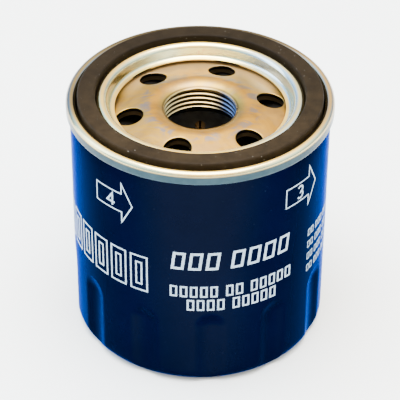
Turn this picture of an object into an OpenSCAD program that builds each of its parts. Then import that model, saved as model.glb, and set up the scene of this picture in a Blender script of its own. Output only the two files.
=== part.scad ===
// Spin-on oil filter for a small car engine, standing on its closed end.
// Millimetres. The origin is the centre of the base, and +Z runs up the axis to the gasket.

/* [Can] */
// Outer radius of the can's wall
can_r = 37; // [37:0.5:40]
// Height of the whole filter, from the closed end to the gasket's top
total_h = 77; // [74:1:110]
// Radius of the rounded edge round the closed end
corner_r = 4.3; // [3:0.1:6]
// Radius of the raised panel in the closed end
panel_r = 25.5; // [25:0.5:27]
// How far the panel is raised above the standing ring
panel_rise = 1; // [0.4:0.1:1.5]

/* [Wrench flutes] */
// Number of flutes round the closed end
flute_count = 12; // [8:1:14]
// Depth of each flute
flute_depth = 1; // [0.6:0.1:1.4]
// Radius of each flute's hollow
flute_r = 10.5; // [8:0.5:12]
// Height at which the flutes run out of the wall
flute_h = 25.5; // [18:0.5:34]
// Direction of the first flute, counted from +X
flute_angle = 5; // [0:1:30]

/* [Rolled seam and lid] */
// Outer radius of the rolled seam, beyond the can's wall by this much
seam_step = 1; // [0.9:0.05:1.2]
// Height of the rolled seam
seam_h = 3.9; // [3.7:0.1:4.6]
// How far the gasket stands above the seam
gasket_proud = 1.2; // [0.8:0.1:2]
// Radius of the lid's inner edge, which stands over the tapping plate
lid_edge_r = 24.3; // [24:0.1:24.6]
// Outer radius of the crest that holds the gasket from inside
crest_r = 29.55; // [29.4:0.05:29.7]

/* [Gasket] */
// Outer radius of the gasket
gasket_r = 34.8; // [34.5:0.1:35]
// Inner radius of the gasket
gasket_in_r = 29.7; // [29.7:0.1:31]
// Height of the gasket's section
gasket_t = 6; // [5.5:0.1:6.5]

/* [Tapping plate] */
// Thickness of the plate
plate_t = 2.5; // [2:0.1:3]
// Slope of the dished part of the plate, falling outwards
dish_angle = 12; // [8:1:14]
// Radius of the rolled edge that leads into the bore
roll_r = 6; // [5.5:0.1:6.5]
// Major radius of the thread, 11 for M22
thread_major_r = 11; // [10:0.25:11]
// Pitch of the thread
thread_pitch = 1.5; // [1:0.25:1.5]
// Number of whole turns cut in the collar
thread_turns = 4; // [3:1:6]
// Radius of the circle that the inlet holes lie on
inlet_circle_r = 20.4; // [19.5:0.1:20.4]
// Radius of each inlet hole
inlet_r = 3.9; // [3:0.05:3.9]
// Direction of the first inlet hole, counted from +X
inlet_angle = 12.3; // [0:0.1:60]

/* [Filter element] */
// Outer radius of the end caps
cap_r = 33.5; // [32:0.5:34]
// Height of the lower end cap above the base
element_z = 13; // [12:0.5:16]
// Number of pleats in the paper
pleat_count = 44; // [30:1:46]
// Outer radius of the centre tube
tube_r = 13.4; // [13:0.1:13.8]
// Radius of the holes in the centre tube
tube_hole_r = 1.6; // [1:0.1:2]

/* [Bypass valve] */
// How far the poppet can lift off its seat
bypass_lift = 3; // [1:0.5:4]
// Turns of the bypass spring
spring_turns = 5; // [4:1:6]
// Radius of the bypass spring's wire
spring_wire_r = 0.5; // [0.4:0.05:0.6]

/* [Hidden] */
$fn = 96;
over = 1;          // how far a cutting tool runs past what it cuts
sheet = 0.4;       // thickness of the can, the lid and the end caps
layer_gap = 0.2;   // sealant between the seam's layers
glue_gap = 0.05;   // room between the adhesive and the walls round it

// Rolled seam, counted inwards from its outside: lid, can, lid, can, lid
seam_r = can_r + seam_step;
seam_top = total_h - gasket_proud;
seam_base = seam_top - seam_h;
layer = sheet + layer_gap;
chuck_r = seam_r - 4 * layer;               // outside of the lid's wall round the gasket
crown_r = (seam_r - chuck_r + sheet) / 2;   // outer radius of the seam's rounded top
crown_z = seam_top - crown_r;
hook_bend_r = (2 * layer + sheet) / 2;      // outer radius of each hook's bend
neck_r = chuck_r + layer;                   // outside of the can's wall inside the seam
neck_z = seam_base - 0.3;                   // where the can's wall steps in below the seam
flange_z = crown_z - 0.18;                  // centre of the bend at the can's flange
panel_foot_r = panel_r + 1.6;               // where the panel's slope meets the standing ring
hook_tip = 1.6;                             // how far each hook reaches past its bend

// Lid and plate
floor_z = total_h - gasket_t;               // groove floor that the gasket lies on
weld_t = 0.1;
plate_top = floor_z - sheet - weld_t;       // the plate's flat rim, under the lid
plate_low = plate_top - plate_t;
plate_r = chuck_r - sheet - 0.35;
edge_lift = 1.1;                            // how far the lid's inner edge is above the groove floor
groove_bend = 0.5;                          // inner radius of the groove's two bends
crest_bend = 1.6;                           // outer radius of the crest's bend
crest_top = seam_top - 0.1;
cove_r = 1;                                 // radius of the hollow where the slope meets the edge
lid_slope = atan2(24, 7);                   // a 7-24-25 slope, so its ends are round numbers
crest_x = crest_r - crest_bend;
crest_z = crest_top - crest_bend;
cove_z = floor_z + edge_lift + cove_r;
slope_r1 = crest_x - crest_bend * sin(lid_slope);
slope_z1 = crest_z + crest_bend * cos(lid_slope);
slope_z2 = cove_z - cove_r * cos(lid_slope);
slope_r2 = slope_r1 - (slope_z1 - slope_z2) / tan(lid_slope);
cove_x = slope_r2 - cove_r * sin(lid_slope);

// Thread: crest and root flats of a 60 degree metric thread
thread_minor_r = thread_major_r - 0.5413 * thread_pitch;
root_flat = thread_pitch / 8;
groove_w = thread_pitch * 3 / 4;

// Dish: it rises inwards from the flat rim, then rolls over into the bore
dish_r = lid_edge_r - 0.6;
dish_low_r = dish_r - plate_t * tan(dish_angle / 2);
roll_x = thread_major_r + 3.05;
roll_out_r = roll_x + roll_r * sin(dish_angle);
roll_z = plate_top + (dish_r - roll_out_r) * tan(dish_angle) - roll_r * cos(dish_angle);
roll_end = asin((roll_x - thread_minor_r) / roll_r);    // slope where the roll meets the bore
mouth_z = roll_z + roll_r * cos(roll_end);
arc_steps = 12;

// Collar drawn down from the plate, with the thread inside it
collar_low = mouth_z - thread_turns * thread_pitch - 0.4;
collar_r = thread_major_r + 2.2;
collar_fillet = 1.2;
lead_in = 0.25;                             // chamfer at the lower end of the thread

// Element
cap_rim_h = 4;
cap_bend_r = 0.9;                           // outer radius of the bend at a cap's rim
cap_top = collar_low - 3;                   // top face of the upper end cap
adhesive_t = 0.7;
paper_low = element_z + sheet + adhesive_t;
paper_high = cap_top - sheet - adhesive_t;
paper_t = 0.5;
paper_r = cap_r - 1.7;
paper_in_r = tube_r + 0.8;
fold_in = 0.35;                             // half the gap inside an outer fold
fold_out = 0.2;                             // half the gap outside an inner fold
tube_in_r = tube_r - sheet;
tube_rows = 7;
tube_columns = 8;

// Bypass valve
seat_port_r = 6.6;
seat_z = element_z + sheet;
seat_t = 0.5;
seat_top = seat_z + 1.6;
seal_t = 1.2;
poppet_t = 0.6;
poppet_r = 8;
poppet_z = seat_top + seal_t;
stem_r = 1.4;
cage_r = 10;
cage_flange_r = 11.5;
cage_top = poppet_z + poppet_t + bypass_lift + 8;
spring_r = 5.2;
spring_z = poppet_z + poppet_t;

// Anti-drain valve and element spring
valve_t = 1;
valve_neck_r = collar_r + 0.15;
valve_lip_r = 26.8;
leaf_t = 0.5;
leaf_w = 9;
leaf_count = 4;

// ---------- sheet-metal sections, drawn as radius and height ----------

// Straight run of sheet between two radii and two heights
module run(r1, r2, z1, z2) {
  translate([r1, z1])
    square([r2 - r1, z2 - z1]);
}

// Bent run of sheet: outer radius r about (x, z), from angle a1 to angle a2
module bend(x, z, r, a1, a2) {
  am = (a1 + a2) / 2;
  reach = 2 * r;
  translate([x, z])
    intersection() {
      difference() {
        circle(r);
        circle(r - sheet);
      }
      polygon([
        [0, 0],
        reach * [cos(a1), sin(a1)],
        1.5 * reach * [cos(am), sin(am)],
        reach * [cos(a2), sin(a2)]
      ]);
    }
}

// ---------- shell ----------

// Filled section of the can below the seam, set in from its outside by t
module cup_section(t) {
  round_r = corner_r - t;
  rise = panel_rise + t;
  shift = 0.4 * t;                          // keeps the panel's slope about t thick
  difference() {
    union() {
      translate([0, t])
        square([can_r - corner_r, neck_z - t]);
      translate([0, corner_r])
        square([can_r - t, neck_z - corner_r]);
      translate([can_r - corner_r, corner_r])
        circle(round_r);
    }
    polygon([
      [-over, -over],
      [panel_foot_r + 2 * shift, -over],
      [panel_foot_r + 2 * shift, t],
      [panel_r + shift, rise],
      [-over, rise]
    ]);
    translate([-can_r, 0])
      square([can_r, neck_z]);
  }
}

// Tool for one flute: a round-ended bar beside the can, grown by t
module flute_tool(t) {
  bar_r = flute_r + t;
  top_z = flute_h - sqrt(pow(flute_r, 2) - pow(flute_r - flute_depth, 2));
  translate([can_r - flute_depth + flute_r, 0, 0])
    rotate_extrude()
      intersection() {
        union() {
          translate([0, -over])
            square([bar_r, top_z + over]);
          translate([0, top_z])
            circle(bar_r);
        }
        translate([0, -over])
          square([bar_r, top_z + bar_r + over]);
      }
}

module flute_tools(t) {
  for (i = [0 : flute_count - 1])
    rotate([0, 0, flute_angle + i * 360 / flute_count])
      flute_tool(t);
}

// Step inwards, wall and hook of the can inside the rolled seam
module flange_section() {
  polygon([
    [can_r - sheet, neck_z],
    [can_r, neck_z],
    [neck_r, seam_base],
    [neck_r, seam_base + 0.1],
    [neck_r - sheet, seam_base + 0.1],
    [neck_r - sheet, seam_base]
  ]);
  run(neck_r - sheet, neck_r, seam_base + 0.1, flange_z);
  bend(neck_r - sheet + hook_bend_r, flange_z, hook_bend_r, 0, 180);
  run(
    neck_r + 2 * layer - sheet,
    neck_r + 2 * layer,
    flange_z - hook_tip,
    flange_z
  );
}

module can() {
  color([0.03, 0.07, 0.3]) {
    difference() {
      rotate_extrude()
        cup_section(0);
      flute_tools(0);
      difference() {
        rotate_extrude()
          cup_section(sheet);
        flute_tools(sheet);
      }
    }
    rotate_extrude()
      flange_section();
  }
}

// Lid, drawn from its hook in the seam, over the seam, along the groove and over the crest
module seaming_lid() {
  hook_x = seam_r - hook_bend_r;
  hook_z = seam_base + hook_bend_r;
  wall_bend = groove_bend + sheet;
  color([0.8, 0.78, 0.72])
    rotate_extrude() {
      run(hook_x - hook_bend_r, hook_x - hook_bend_r + sheet, hook_z, hook_z + hook_tip);
      bend(hook_x, hook_z, hook_bend_r, 180, 360);
      run(seam_r - sheet, seam_r, hook_z, crown_z);
      bend(seam_r - crown_r, crown_z, crown_r, 0, 180);
      run(chuck_r - sheet, chuck_r, floor_z + groove_bend, crown_z);
      bend(chuck_r - wall_bend, floor_z + groove_bend, wall_bend, 270, 360);
      run(crest_r + groove_bend, chuck_r - wall_bend, floor_z - sheet, floor_z);
      bend(crest_r + groove_bend, floor_z + groove_bend, wall_bend, 180, 270);
      run(crest_r - sheet, crest_r, floor_z + groove_bend, crest_z);
      bend(crest_x, crest_z, crest_bend, 0, 90 + lid_slope);
      polygon([
        [slope_r1, slope_z1],
        [slope_r2, slope_z2],
        [slope_r2 + sheet * sin(lid_slope), slope_z2 - sheet * cos(lid_slope)],
        [slope_r1 + sheet * sin(lid_slope), slope_z1 - sheet * cos(lid_slope)]
      ]);
      bend(cove_x, cove_z, cove_r + sheet, 270, 270 + lid_slope);
      run(lid_edge_r, cove_x, cove_z - cove_r - sheet, cove_z - cove_r);
    }
}

// Cross-section of one thread groove, its middle at height zero
module thread_groove() {
  polygon([
    [thread_minor_r - over, groove_w / 2],
    [thread_minor_r - over, -groove_w / 2],
    [thread_minor_r, -groove_w / 2],
    [thread_major_r, -root_flat / 2],
    [thread_major_r, root_flat / 2],
    [thread_minor_r, groove_w / 2]
  ]);
}

// Points on an arc of radius r about (x, z), from angle a1 to angle a2
function arc_points(x, z, r, a1, a2) = [
  for (i = [0 : arc_steps])
    let (a = a1 + (a2 - a1) * i / arc_steps)
      [x + r * cos(a), z + r * sin(a)]
];

module plate_section() {
  bend_r = collar_r + collar_fillet;
  under_z = plate_low + (dish_low_r - bend_r) * tan(dish_angle);
  difference() {
    polygon(concat(
      [
        [thread_minor_r, collar_low + lead_in],
        [thread_minor_r + lead_in, collar_low],
        [collar_r, collar_low]
      ],
      arc_points(bend_r, under_z - collar_fillet, collar_fillet, 180, 90),
      [
        [dish_low_r, plate_low],
        [plate_r, plate_low],
        [plate_r, plate_top],
        [dish_r, plate_top]
      ],
      arc_points(roll_x, roll_z, roll_r, 90 - dish_angle, 90 + roll_end)
    ));
    for (i = [0 : thread_turns - 1])
      translate([0, mouth_z - (i + 0.5) * thread_pitch])
        thread_groove();
  }
}

module tapping_plate() {
  color([0.72, 0.64, 0.5])
    difference() {
      rotate_extrude()
        plate_section();
      for (i = [0 : 5])
        rotate([0, 0, inlet_angle + i * 60])
          translate([inlet_circle_r, 0, plate_low - over])
            cylinder(r = inlet_r, h = mouth_z - plate_low + 2 * over);
    }
}

module gasket() {
  edge = 0.6;
  color([0.16, 0.13, 0.11])
    rotate_extrude()
      union() {
        run(gasket_in_r + edge, gasket_r - edge, floor_z, total_h);
        run(gasket_in_r, gasket_r, floor_z + edge, total_h - edge);
        for (r = [gasket_in_r + edge, gasket_r - edge])
          for (z = [floor_z + edge, total_h - edge])
            translate([r, z])
              circle(edge);
      }
}

// Nuggets that join the lid's groove floor to the tapping plate
module plate_welds() {
  color([0.35, 0.33, 0.32])
    for (i = [0 : 7])
      rotate([0, 0, (i + 0.5) * 45])
        translate([(crest_r + chuck_r) / 2, 0, plate_top])
          cylinder(r = 1.3, h = weld_t);
}

// Sealant between the can's flange and the top of the seam
module seam_compound() {
  r = neck_r - sheet + hook_bend_r;
  z = flange_z + hook_bend_r;
  color([0.6, 0.6, 0.55])
    rotate_extrude()
      run(r - 0.25, r + 0.25, z, z + 0.3);
}

// Leaf spring that stands on the closed end and holds the element up
module element_spring() {
  ring_z = element_z - leaf_t;
  foot_z = panel_rise + sheet;
  ring_in_r = 11.5;
  ring_out_r = 17;
  color([0.45, 0.46, 0.5]) {
    difference() {
      translate([0, 0, ring_z])
        cylinder(r = ring_out_r, h = leaf_t);
      translate([0, 0, ring_z - over])
        cylinder(r = ring_in_r, h = leaf_t + 2 * over);
    }
    for (i = [0 : leaf_count - 1])
      rotate([0, 0, i * 360 / leaf_count])
        translate([0, leaf_w / 2, 0])
          rotate([90, 0, 0])
            linear_extrude(leaf_w)
              leaf_section(ring_out_r, ring_z, foot_z);
  }
}

// Side of one leaf: it leaves the ring at r, slopes down and ends in a short foot
module leaf_section(r, ring_z, foot_z) {
  ankle_r = r + 5.7;
  toe_r = ankle_r + 1.7;
  polygon([
    [r - 2, ring_z],
    [r - 2, ring_z + leaf_t],
    [r + 0.6, ring_z + leaf_t],
    [ankle_r + 0.35, foot_z + 2 * leaf_t],
    [toe_r, foot_z + leaf_t],
    [toe_r, foot_z],
    [ankle_r, foot_z + 0.8 * leaf_t],
    [r + 0.1, ring_z]
  ]);
}

// Rubber diaphragm: the neck grips the collar and the lip lies on the plate's underside
module anti_drain_valve() {
  neck_out_r = valve_neck_r + 1.5 * valve_t;
  neck_top = collar_low + 2.2;
  foot_r = neck_out_r + 1.2;
  color([0.1, 0.1, 0.1])
    rotate_extrude()
      polygon([
        [valve_neck_r, cap_top],
        [foot_r, cap_top],
        [foot_r + 0.4, cap_top + 1.2],
        [valve_lip_r - 1.2, plate_low - 1.6 * valve_t],
        [valve_lip_r, plate_low - 0.7 * valve_t],
        [valve_lip_r, plate_low],
        [valve_lip_r - 0.8, plate_low],
        [valve_lip_r - 1.8, plate_low - 0.6 * valve_t],
        [foot_r - 0.3, cap_top + 1.5 + valve_t],
        [neck_out_r, cap_top + 3.8],
        [neck_out_r, neck_top],
        [valve_neck_r, neck_top]
      ]);
}

// ---------- filter element ----------

// Pressed cap with its open side up, standing at height zero
module end_cap(hole_r) {
  rotate_extrude() {
    run(hole_r, cap_r - cap_bend_r, 0, sheet);
    bend(cap_r - cap_bend_r, cap_bend_r, cap_bend_r, 270, 360);
    run(cap_r - sheet, cap_r, cap_bend_r, cap_rim_h);
  }
}

module upper_end_cap() {
  inner_r = tube_in_r - 0.1;
  color([0.66, 0.68, 0.7]) {
    translate([0, 0, cap_top])
      mirror([0, 0, 1])
        end_cap(inner_r - sheet);
    rotate_extrude()
      run(inner_r - sheet, inner_r, cap_top - 3, cap_top - sheet);
  }
}

module lower_end_cap() {
  color([0.66, 0.68, 0.7])
    translate([0, 0, element_z])
      end_cap(seat_port_r + 1.85);
}

// Adhesive pool with its rim up, on a cap's inside face
module adhesive_section() {
  pool_in = tube_r + glue_gap;
  pool_out = cap_r - sheet - glue_gap;
  floor_out = cap_r - cap_bend_r;
  bend_h = cap_bend_r - sheet;
  run(pool_in, pool_out, bend_h, adhesive_t);
  run(pool_in, floor_out, 0, bend_h);
  run(paper_r + 0.55, pool_out, adhesive_t, adhesive_t + 2);
}

module upper_adhesive() {
  color([0.35, 0.3, 0.22])
    translate([0, 0, cap_top - sheet])
      mirror([0, 0, 1])
        rotate_extrude()
          adhesive_section();
}

module lower_adhesive() {
  color([0.35, 0.3, 0.22])
    translate([0, 0, element_z + sheet])
      rotate_extrude()
        adhesive_section();
}

// Point at radius r, set off sideways by s from the direction a
function beside(r, s, a) = [
  r * cos(a) - s * sin(a),
  r * sin(a) + s * cos(a)
];

// Star outline: outer folds of half width so at ro, inner folds of half width si at ri
function star(ro, so, ri, si) = [
  for (i = [0 : pleat_count - 1])
    for (p = [[ro, -so, 0], [ro, so, 0], [ri, -si, 0.5], [ri, si, 0.5]])
      beside(p[0], p[1], (i + p[2]) * 360 / pleat_count)
];

module pleated_paper() {
  color([0.86, 0.76, 0.5])
    translate([0, 0, paper_low])
      linear_extrude(paper_high - paper_low)
        difference() {
          polygon(star(paper_r, fold_in + paper_t, paper_in_r + paper_t, fold_out));
          polygon(star(paper_r - paper_t, fold_in, paper_in_r, fold_out + paper_t));
        }
}

// Channel folded over the pleat where the paper's two ends meet
module pleat_clip() {
  clip_t = 0.3;
  half_w = fold_in + paper_t + 0.05;
  leg = 5;
  color([0.62, 0.64, 0.66])
    translate([0, 0, paper_low + 0.2])
      linear_extrude(paper_high - paper_low - 0.4)
        difference() {
          translate([paper_r - leg, -half_w - clip_t])
            square([leg + 0.05 + clip_t, 2 * (half_w + clip_t)]);
          translate([paper_r - leg - over, -half_w])
            square([leg + over + 0.05, 2 * half_w]);
        }
}

module centre_tube() {
  low = element_z + sheet;
  high = cap_top - sheet;
  margin = 5;
  step = (high - low - 2 * margin) / (tube_rows - 1);
  color([0.6, 0.62, 0.64])
    difference() {
      translate([0, 0, low])
        cylinder(r = tube_r, h = high - low);
      translate([0, 0, low - over])
        cylinder(r = tube_in_r, h = high - low + 2 * over);
      for (row = [0 : tube_rows - 1])
        for (i = [0 : tube_columns / 2 - 1])
          translate([0, 0, low + margin + row * step])
            rotate([90, 0, (i + row % 2 / 2) * 360 / tube_columns])
              cylinder(r = tube_hole_r, h = 2 * tube_r + 2 * over, center = true);
    }
}

// ---------- bypass valve ----------

module bypass_seat() {
  skirt_r = seat_port_r + 1.8;
  color([0.7, 0.7, 0.66])
    rotate_extrude()
      union() {
        run(seat_port_r, cage_flange_r, seat_z, seat_z + seat_t);
        run(seat_port_r, seat_port_r + sheet, seat_z + seat_t, seat_top);
        run(skirt_r - sheet, skirt_r, element_z - 0.8, seat_z);
      }
}

// Cup over the valve with four windows and a guide hole for the stem
module bypass_cage() {
  low = seat_z + seat_t;
  window_w = 8.5;
  window_low = low + 1.6;
  window_h = cage_top - 2.6 - window_low;
  color([0.68, 0.69, 0.66])
    difference() {
      rotate_extrude()
        union() {
          run(cage_r - sheet, cage_flange_r, low, low + sheet);
          run(cage_r - sheet, cage_r, low + sheet, cage_top - sheet);
          run(stem_r + 0.2, cage_r, cage_top - sheet, cage_top);
        }
      for (i = [0 : 1])
        rotate([0, 0, 45 + i * 90])
          translate([-cage_flange_r - over, -window_w / 2, window_low])
            cube([2 * (cage_flange_r + over), window_w, window_h]);
    }
}

// Rings of points round a wire that winds up from z1 to z2
function coil_point(i, j, steps, sides, z1, z2) =
  let (
    turn = i * 360 * spring_turns / steps,
    ends = min(1, i / steps * spring_turns, (1 - i / steps) * spring_turns),
    rise = z1 + (z2 - z1) * i / steps,
    side = j * 360 / sides,
    r = spring_r + spring_wire_r * cos(side)
  )
  [r * cos(turn), r * sin(turn), rise + spring_wire_r * sin(side)];

module bypass_spring() {
  sides = 10;
  steps = 32 * spring_turns;
  z1 = spring_z + spring_wire_r + 0.02;
  z2 = cage_top - sheet - spring_wire_r - 0.02;
  points = [
    for (i = [0 : steps])
      for (j = [0 : sides - 1])
        coil_point(i, j, steps, sides, z1, z2)
  ];
  walls = [
    for (i = [0 : steps - 1])
      for (j = [0 : sides - 1])
        [
          i * sides + j,
          i * sides + (j + 1) % sides,
          (i + 1) * sides + (j + 1) % sides,
          (i + 1) * sides + j
        ]
  ];
  start = [[for (j = [sides - 1 : -1 : 0]) j]];
  finish = [[for (j = [0 : sides - 1]) steps * sides + j]];
  color([0.5, 0.52, 0.56])
    polyhedron(points, concat(walls, start, finish), convexity = 10);
}

module bypass_poppet() {
  color([0.72, 0.72, 0.68]) {
    translate([0, 0, poppet_z])
      cylinder(r = poppet_r, h = poppet_t);
    translate([0, 0, poppet_z + poppet_t])
      cylinder(r = stem_r, h = cage_top + 1 - poppet_z - poppet_t);
    translate([0, 0, seat_top])
      cylinder(r = stem_r, h = seal_t);
  }
}

module bypass_seal() {
  color([0.12, 0.1, 0.1])
    difference() {
      translate([0, 0, seat_top])
        cylinder(r = poppet_r, h = seal_t);
      translate([0, 0, seat_top - over])
        cylinder(r = stem_r, h = seal_t + 2 * over);
    }
}

can();
seaming_lid();
tapping_plate();
gasket();
plate_welds();
seam_compound();
element_spring();
anti_drain_valve();
upper_end_cap();
lower_end_cap();
upper_adhesive();
lower_adhesive();
pleated_paper();
pleat_clip();
centre_tube();
bypass_seat();
bypass_cage();
bypass_spring();
bypass_poppet();
bypass_seal();
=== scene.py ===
"""Looks for the spin-on oil filter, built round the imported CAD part, in its frame and in metres."""

import math

import bmesh
import bpy
from mathutils import Matrix, Vector
from mathutils.geometry import delaunay_2d_cdt


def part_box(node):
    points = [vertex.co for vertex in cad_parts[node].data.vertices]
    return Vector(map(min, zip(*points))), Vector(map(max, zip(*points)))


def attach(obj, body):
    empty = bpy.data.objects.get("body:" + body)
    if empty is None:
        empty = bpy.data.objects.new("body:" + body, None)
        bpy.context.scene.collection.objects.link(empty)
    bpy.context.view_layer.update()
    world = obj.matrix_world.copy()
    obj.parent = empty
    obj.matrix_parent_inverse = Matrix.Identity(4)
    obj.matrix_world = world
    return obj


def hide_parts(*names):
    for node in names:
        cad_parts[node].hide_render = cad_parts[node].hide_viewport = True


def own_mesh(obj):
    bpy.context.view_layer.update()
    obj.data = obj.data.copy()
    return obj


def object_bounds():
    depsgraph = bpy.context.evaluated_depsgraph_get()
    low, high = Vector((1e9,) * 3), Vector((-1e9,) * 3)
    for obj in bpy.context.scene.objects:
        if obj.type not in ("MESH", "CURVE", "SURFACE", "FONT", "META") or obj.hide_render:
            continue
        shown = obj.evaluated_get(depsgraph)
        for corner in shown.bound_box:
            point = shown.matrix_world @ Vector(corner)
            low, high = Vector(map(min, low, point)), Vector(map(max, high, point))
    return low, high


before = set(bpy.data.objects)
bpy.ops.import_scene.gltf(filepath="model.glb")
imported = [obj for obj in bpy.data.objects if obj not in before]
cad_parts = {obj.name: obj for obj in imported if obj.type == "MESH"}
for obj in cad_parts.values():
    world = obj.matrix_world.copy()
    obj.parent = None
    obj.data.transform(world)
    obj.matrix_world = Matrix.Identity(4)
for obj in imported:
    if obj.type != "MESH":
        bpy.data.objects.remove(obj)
CAD_LOW, CAD_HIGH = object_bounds()

MM = 0.001
SHEET = 0.4  # thickness of the can and the lid, in mm, as in the CAD
OVERHANG = 1.0  # how far the seam stands out past the can's wall, in mm
WELD_GAP = 0.1  # room that the weld nuggets keep between plate and lid, in mm
LIP_TRAVEL, FLOAT_TRAVEL, LIFT_TRAVEL = 1.2, 1.5, 3.0  # how far each joint moves, in mm

# ---------------------------------------------------------------- sizes, in mm, from the CAD


def top_of(node):
    """Highest corner of a CAD node, in mm: x is its outer radius and z its top."""
    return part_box(node)[1] / MM


def base_of(node):
    """Lowest height of a CAD node, in mm."""
    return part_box(node)[0].z / MM


SEAM_R, SEAM_TOP = top_of("seaming_lid").x, top_of("seaming_lid").z
LID_LOW = base_of("seaming_lid")
CAN_R = SEAM_R - OVERHANG
GASKET_R, GASKET_TOP = top_of("gasket").x, top_of("gasket").z
PLATE_R, CROWN_Z = top_of("tapping_plate").x, top_of("tapping_plate").z
COLLAR_LOW = base_of("tapping_plate")
PLATE_TOP = LID_LOW - WELD_GAP  # the plate's flat rim, under the lid

# ---------------------------------------------------------------- profiles


def arc(x, z, r, start, end, steps):
    """Points on an arc, start and end in degrees, both included."""
    out = []
    for i in range(steps + 1):
        a = math.radians(start + (end - start) * i / steps)
        out.append((x + r * math.cos(a), z + r * math.sin(a)))
    return out


def supported(points, reach=0.08, spacing=6.0):
    """Adds points close to the ends of long straight runs, so that smooth shading stays flat on them."""
    out = [points[0]]
    for (x0, z0), (x1, z1) in zip(points, points[1:]):
        length = math.hypot(x1 - x0, z1 - z0)
        if length > 4 * reach:
            cuts = [reach / length]
            inner = max(1, int(length / spacing))
            even = [i / inner for i in range(1, inner)]
            cuts += [t for t in even if reach * 2 < length * t < length - reach * 2]
            cuts.append(1 - reach / length)
            out += [(x0 + (x1 - x0) * t, z0 + (z1 - z0) * t) for t in cuts]
        out.append((x1, z1))
    return out


def both_sides(line, thick):
    """The outline of a sheet whose middle follows line: its right side, then its left side back."""
    left, right = [], []
    for i, (x, z) in enumerate(line):
        x0, z0 = line[max(0, i - 1)]
        x1, z1 = line[min(len(line) - 1, i + 1)]
        d = math.hypot(x1 - x0, z1 - z0)
        nx, nz = -(z1 - z0) / d, (x1 - x0) / d
        left.append((x + nx * thick / 2, z + nz * thick / 2))
        right.append((x - nx * thick / 2, z - nz * thick / 2))
    return right, left[::-1]


# ---------------------------------------------------------------- meshes


def finish_mesh(name, mesh, sharp=40):
    """Welds and smooths a mesh, keeps edges over sharp degrees crisp, and puts it in the scene."""
    mesh.validate()
    bm = bmesh.new()
    bm.from_mesh(mesh)
    bmesh.ops.remove_doubles(bm, verts=bm.verts, dist=1e-7)
    bmesh.ops.recalc_face_normals(bm, faces=bm.faces)
    for face in bm.faces:
        face.smooth = True
    bm.to_mesh(mesh)
    bm.free()
    mesh.set_sharp_from_angle(angle=math.radians(sharp))
    obj = bpy.data.objects.new(name, mesh)
    bpy.context.scene.collection.objects.link(obj)
    return obj


def from_grid(name, rows, closed_rows=False, sharp=40):
    """Mesh over rows of points in mm; each row is a closed loop."""
    m, n = len(rows), len(rows[0])
    verts = [(x * MM, y * MM, z * MM) for row in rows for x, y, z in row]
    faces = []
    for i in range(m if closed_rows else m - 1):
        for j in range(n):
            a, b = i * n + j, i * n + (j + 1) % n
            c, d = ((i + 1) % m) * n + (j + 1) % n, ((i + 1) % m) * n + j
            faces.append((a, b, c, d))
    mesh = bpy.data.meshes.new(name)
    mesh.from_pydata(verts, [], faces)
    return finish_mesh(name, mesh, sharp)


def revolve(name, profile, segments=256, sharp=40):
    """Turns a closed outline, given as radius and height in mm, round the Z axis."""
    turn = [2 * math.pi * j / segments for j in range(segments)]
    rows = [[(r * math.cos(a), r * math.sin(a), z) for a in turn] for r, z in profile]
    return from_grid(name, rows, closed_rows=True, sharp=sharp)


# ---------------------------------------------------------------- can

SEAM_WIDE, SEAM_TALL, HOOK_R, HOOK_TIP = 2.8, 3.9, 0.8, 1.6  # rolled seam and the hooks inside it
HOOK_DROP = 0.18  # how far the can's hook lies below the lid's crown
NECK_IN = 1.0  # how far the wall steps in under the seam
CORNER_R = 4.3  # rounded edge of the closed end
PANEL_R, PANEL_Z, PANEL_BEND = 24.7, 1.2, 0.8  # raised panel inside it
FOOT_R, FOOT_BEND = 26.45, 0.9  # where the ring that the can stands on meets the panel
FLUTES, FLUTE_DEPTH, FLUTE_R, FLUTE_TOP, FLUTE_TURN = 12, 1.0, 10.5, 25.5, 5.0
FLUTE_HALF = math.radians(9.0)  # half the angle over which a flute shapes the wall
FLUTE_BLEND = 0.6  # how softly a flute meets the wall
FLUTE_X = CAN_R - FLUTE_DEPTH + FLUTE_R
FLUTE_Z = FLUTE_TOP - math.sqrt(FLUTE_R**2 - (FLUTE_R - FLUTE_DEPTH) ** 2)


def flute_radius(phi, z, grow):
    """How far out the flute's hollow leaves the wall, at angle phi from its middle."""
    r = FLUTE_R + grow
    if z > FLUTE_Z:
        r = math.sqrt(max(0.0, r * r - (z - FLUTE_Z) ** 2))
    side = FLUTE_X * math.sin(phi)
    if abs(side) >= r:
        return 1e3
    return FLUTE_X * math.cos(phi) - math.sqrt(r * r - side * side)


def soft_min(a, b, k):
    """The smaller of a and b, rounded off where they are within k."""
    h = max(k - abs(a - b), 0.0) / k
    return min(a, b) - h * h * k / 4


def can_angles():
    """Columns round the can, close together across each flute: angle, and angle from the flute."""
    step, near_steps, far_steps = 2 * math.pi / FLUTES, 36, 5
    near = [-FLUTE_HALF + 2 * FLUTE_HALF * i / near_steps for i in range(near_steps + 1)]
    far = [FLUTE_HALF + (step - 2 * FLUTE_HALF) * i / far_steps for i in range(1, far_steps)]
    out = []
    for f in range(FLUTES):
        middle = math.radians(FLUTE_TURN) + f * step
        out += [(middle + a, a) for a in near]
        out += [(middle + a, a if a < step / 2 else a - step) for a in far]
    return out


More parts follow.
